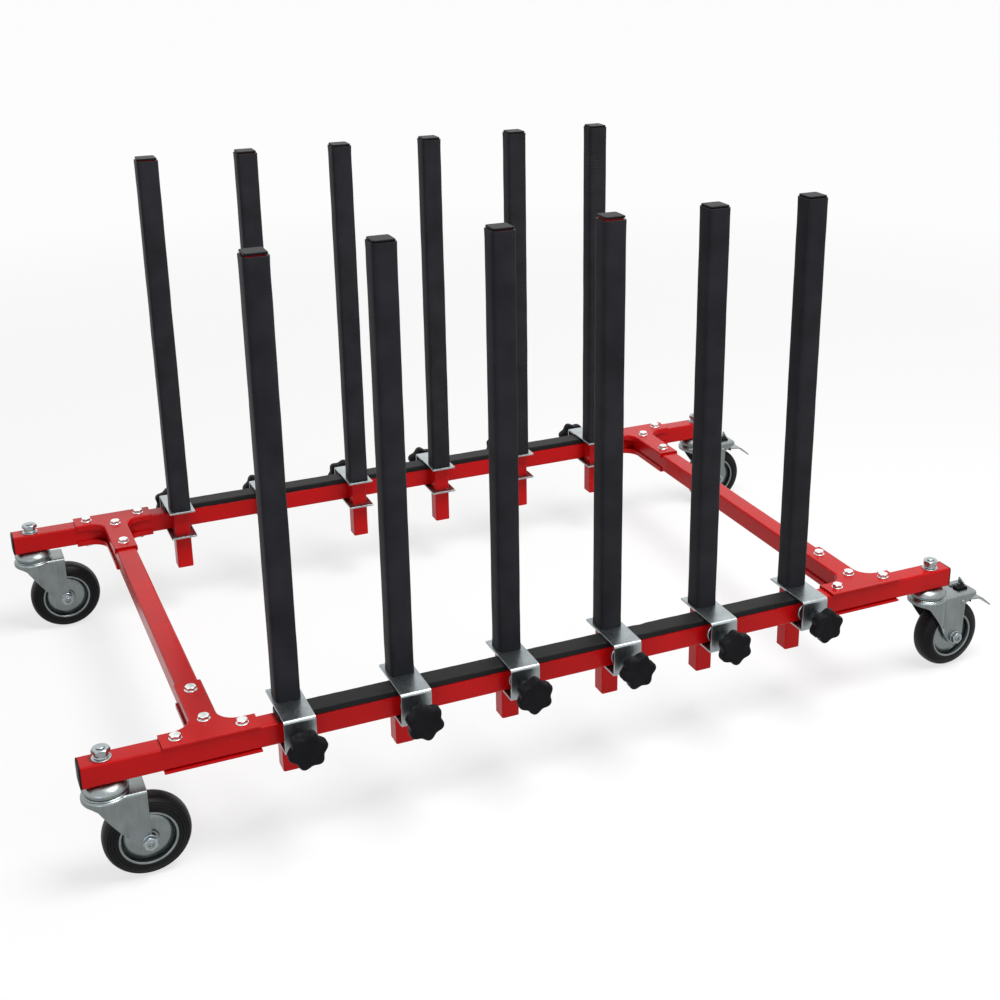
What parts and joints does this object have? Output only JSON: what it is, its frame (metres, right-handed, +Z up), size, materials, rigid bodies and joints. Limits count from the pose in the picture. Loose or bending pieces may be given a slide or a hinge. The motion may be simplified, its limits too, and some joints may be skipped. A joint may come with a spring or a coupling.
{
  "type": "sheet goods cart",
  "caption": "Low steel cart on swivel castors, with foam-sleeved uprights clamped along both side rails by star knobs to hold sheet goods on edge.",
  "frame": {"origin": "on the floor below the middle of the whole cart", "axes": "+X along the side rails towards the braked castors, +Y from the front rail to the rear rail, +Z up"},
  "size_m": [1.3716, 0.868, 0.759],
  "materials": {
    "red_powder_coat": "gloss powder coat",
    "zinc_plate": "bright zinc plate",
    "post_sleeve_foam": "matte foam sleeve",
    "rail_pad_rubber": "matte rubber strip",
    "knob_plastic": "moulded black plastic",
    "tyre_rubber": "smooth black tread"
  },
  "bodies": {
    "frame": {"front_side_rail": "red_powder_coat", "front_rail_pad": "rail_pad_rubber", "rear_side_rail": "red_powder_coat", "rear_rail_pad": "rail_pad_rubber", "left_cross_rail": "red_powder_coat", "front_left_corner_plates": "red_powder_coat", "front_left_castor_stem": "zinc_plate", "rear_left_corner_plates": "red_powder_coat", "rear_left_castor_stem": "zinc_plate", "right_cross_rail": "red_powder_coat", "front_right_corner_plates": "red_powder_coat", "front_right_castor_stem": "zinc_plate", "rear_right_corner_plates": "red_powder_coat", "rear_right_castor_stem": "zinc_plate"},
    "front_upright_1": {"front_post_1": "post_sleeve_foam", "front_clamp_bracket_1": "zinc_plate"},
    "front_knob_1": {"front_star_knob_1": "knob_plastic"},
    "front_upright_2": {"front_post_2": "post_sleeve_foam", "front_clamp_bracket_2": "zinc_plate"},
    "front_knob_2": {"front_star_knob_2": "knob_plastic"},
    "front_upright_3": {"front_post_3": "post_sleeve_foam", "front_clamp_bracket_3": "zinc_plate"},
    "front_knob_3": {"front_star_knob_3": "knob_plastic"},
    "front_upright_4": {"front_post_4": "post_sleeve_foam", "front_clamp_bracket_4": "zinc_plate"},
    "front_knob_4": {"front_star_knob_4": "knob_plastic"},
    "front_upright_5": {"front_post_5": "post_sleeve_foam", "front_clamp_bracket_5": "zinc_plate"},
    "front_knob_5": {"front_star_knob_5": "knob_plastic"},
    "front_upright_6": {"front_post_6": "post_sleeve_foam", "front_clamp_bracket_6": "zinc_plate"},
    "front_knob_6": {"front_star_knob_6": "knob_plastic"},
    "front_left_castor": {"front_left_castor_fork": "zinc_plate"},
    "front_left_wheel": {"front_left_castor_wheel": "tyre_rubber"},
    "front_right_castor": {"front_right_castor_fork": "zinc_plate"},
    "front_right_wheel": {"front_right_castor_wheel": "tyre_rubber"},
    "front_right_brake": {"front_right_brake_pedal": "zinc_plate"},
    "rear_upright_1": {"rear_post_1": "post_sleeve_foam", "rear_clamp_bracket_1": "zinc_plate"},
    "rear_knob_1": {"rear_star_knob_1": "knob_plastic"},
    "rear_upright_2": {"rear_post_2": "post_sleeve_foam", "rear_clamp_bracket_2": "zinc_plate"},
    "rear_knob_2": {"rear_star_knob_2": "knob_plastic"},
    "rear_upright_3": {"rear_post_3": "post_sleeve_foam", "rear_clamp_bracket_3": "zinc_plate"},
    "rear_knob_3": {"rear_star_knob_3": "knob_plastic"},
    "rear_upright_4": {"rear_post_4": "post_sleeve_foam", "rear_clamp_bracket_4": "zinc_plate"},
    "rear_knob_4": {"rear_star_knob_4": "knob_plastic"},
    "rear_upright_5": {"rear_post_5": "post_sleeve_foam", "rear_clamp_bracket_5": "zinc_plate"},
    "rear_knob_5": {"rear_star_knob_5": "knob_plastic"},
    "rear_upright_6": {"rear_post_6": "post_sleeve_foam", "rear_clamp_bracket_6": "zinc_plate"},
    "rear_knob_6": {"rear_star_knob_6": "knob_plastic"},
    "rear_left_castor": {"rear_left_castor_fork": "zinc_plate"},
    "rear_left_wheel": {"rear_left_castor_wheel": "tyre_rubber"},
    "rear_right_castor": {"rear_right_castor_fork": "zinc_plate"},
    "rear_right_wheel": {"rear_right_castor_wheel": "tyre_rubber"},
    "rear_right_brake": {"rear_right_brake_pedal": "zinc_plate"}
  },
  "joints": [
    {"name": "front_upright_1_slide", "type": "slide", "parent": "frame", "child": "front_upright_1", "axis": [1, 0, 0], "range_m": [-0.02, 0.048]},
    {"name": "front_knob_1_turn", "type": "hinge", "parent": "front_upright_1", "child": "front_knob_1", "pos_m": [-0.42326, -0.39, 0.156], "axis": [0, -1, 0], "range_deg": [0, 450]},
    {"name": "front_upright_2_slide", "type": "slide", "parent": "frame", "child": "front_upright_2", "axis": [1, 0, 0], "range_m": [-0.048, 0.048]},
    {"name": "front_knob_2_turn", "type": "hinge", "parent": "front_upright_2", "child": "front_knob_2", "pos_m": [-0.27166, -0.39, 0.156], "axis": [0, -1, 0], "range_deg": [0, 450]},
    {"name": "front_upright_3_slide", "type": "slide", "parent": "frame", "child": "front_upright_3", "axis": [1, 0, 0], "range_m": [-0.048, 0.048]},
    {"name": "front_knob_3_turn", "type": "hinge", "parent": "front_upright_3", "child": "front_knob_3", "pos_m": [-0.12006, -0.39, 0.156], "axis": [0, -1, 0], "range_deg": [0, 450]},
    {"name": "front_upright_4_slide", "type": "slide", "parent": "frame", "child": "front_upright_4", "axis": [1, 0, 0], "range_m": [-0.048, 0.048]},
    {"name": "front_knob_4_turn", "type": "hinge", "parent": "front_upright_4", "child": "front_knob_4", "pos_m": [0.03154, -0.39, 0.156], "axis": [0, -1, 0], "range_deg": [0, 450]},
    {"name": "front_upright_5_slide", "type": "slide", "parent": "frame", "child": "front_upright_5", "axis": [1, 0, 0], "range_m": [-0.048, 0.048]},
    {"name": "front_knob_5_turn", "type": "hinge", "parent": "front_upright_5", "child": "front_knob_5", "pos_m": [0.18314, -0.39, 0.156], "axis": [0, -1, 0], "range_deg": [0, 450]},
    {"name": "front_upright_6_slide", "type": "slide", "parent": "frame", "child": "front_upright_6", "axis": [1, 0, 0], "range_m": [-0.048, 0.02]},
    {"name": "front_knob_6_turn", "type": "hinge", "parent": "front_upright_6", "child": "front_knob_6", "pos_m": [0.33474, -0.39, 0.156], "axis": [0, -1, 0], "range_deg": [0, 450]},
    {"name": "front_left_castor_swivel", "type": "hinge", "parent": "frame", "child": "front_left_castor", "pos_m": [-0.65576, -0.36, 0.121], "axis": [0, 0, 1], "continuous": true},
    {"name": "front_left_wheel_spin", "type": "hinge", "parent": "front_left_castor", "child": "front_left_wheel", "pos_m": [-0.61376, -0.36, 0.054], "axis": [0, 1, 0], "continuous": true},
    {"name": "front_right_castor_swivel", "type": "hinge", "parent": "frame", "child": "front_right_castor", "pos_m": [0.56724, -0.36, 0.121], "axis": [0, 0, 1], "continuous": true},
    {"name": "front_right_wheel_spin", "type": "hinge", "parent": "front_right_castor", "child": "front_right_wheel", "pos_m": [0.60921, -0.35853, 0.054], "axis": [-0.0349, 0.9994, 0], "continuous": true},
    {"name": "front_right_brake_press", "type": "hinge", "parent": "front_right_castor", "child": "front_right_brake", "pos_m": [0.62321, -0.35805, 0.1165], "axis": [-0.0349, 0.9994, 0], "range_deg": [0, 10]},
    {"name": "rear_upright_1_slide", "type": "slide", "parent": "frame", "child": "rear_upright_1", "axis": [1, 0, 0], "range_m": [-0.02, 0.048]},
    {"name": "rear_knob_1_turn", "type": "hinge", "parent": "rear_upright_1", "child": "rear_knob_1", "pos_m": [-0.42326, 0.39, 0.156], "axis": [0, 1, 0], "range_deg": [0, 450]},
    {"name": "rear_upright_2_slide", "type": "slide", "parent": "frame", "child": "rear_upright_2", "axis": [1, 0, 0], "range_m": [-0.048, 0.048]},
    {"name": "rear_knob_2_turn", "type": "hinge", "parent": "rear_upright_2", "child": "rear_knob_2", "pos_m": [-0.27166, 0.39, 0.156], "axis": [0, 1, 0], "range_deg": [0, 450]},
    {"name": "rear_upright_3_slide", "type": "slide", "parent": "frame", "child": "rear_upright_3", "axis": [1, 0, 0], "range_m": [-0.048, 0.048]},
    {"name": "rear_knob_3_turn", "type": "hinge", "parent": "rear_upright_3", "child": "rear_knob_3", "pos_m": [-0.12006, 0.39, 0.156], "axis": [0, 1, 0], "range_deg": [0, 450]},
    {"name": "rear_upright_4_slide", "type": "slide", "parent": "frame", "child": "rear_upright_4", "axis": [1, 0, 0], "range_m": [-0.048, 0.048]},
    {"name": "rear_knob_4_turn", "type": "hinge", "parent": "rear_upright_4", "child": "rear_knob_4", "pos_m": [0.03154, 0.39, 0.156], "axis": [0, 1, 0], "range_deg": [0, 450]},
    {"name": "rear_upright_5_slide", "type": "slide", "parent": "frame", "child": "rear_upright_5", "axis": [1, 0, 0], "range_m": [-0.048, 0.048]},
    {"name": "rear_knob_5_turn", "type": "hinge", "parent": "rear_upright_5", "child": "rear_knob_5", "pos_m": [0.18314, 0.39, 0.156], "axis": [0, 1, 0], "range_deg": [0, 450]},
    {"name": "rear_upright_6_slide", "type": "slide", "parent": "frame", "child": "rear_upright_6", "axis": [1, 0, 0], "range_m": [-0.048, 0.02]},
    {"name": "rear_knob_6_turn", "type": "hinge", "parent": "rear_upright_6", "child": "rear_knob_6", "pos_m": [0.33474, 0.39, 0.156], "axis": [0, 1, 0], "range_deg": [0, 450]},
    {"name": "rear_left_castor_swivel", "type": "hinge", "parent": "frame", "child": "rear_left_castor", "pos_m": [-0.65576, 0.36, 0.121], "axis": [0, 0, 1], "continuous": true},
    {"name": "rear_left_wheel_spin", "type": "hinge", "parent": "rear_left_castor", "child": "rear_left_wheel", "pos_m": [-0.61376, 0.36, 0.054], "axis": [0, 1, 0], "continuous": true},
    {"name": "rear_right_castor_swivel", "type": "hinge", "parent": "frame", "child": "rear_right_castor", "pos_m": [0.56724, 0.36, 0.121], "axis": [0, 0, 1], "continuous": true},
    {"name": "rear_right_wheel_spin", "type": "hinge", "parent": "rear_right_castor", "child": "rear_right_wheel", "pos_m": [0.60924, 0.36, 0.054], "axis": [0, 1, 0], "continuous": true},
    {"name": "rear_right_brake_press", "type": "hinge", "parent": "rear_right_castor", "child": "rear_right_brake", "pos_m": [0.62324, 0.36, 0.1165], "axis": [0, 1, 0], "range_deg": [0, 10]}
  ]
}
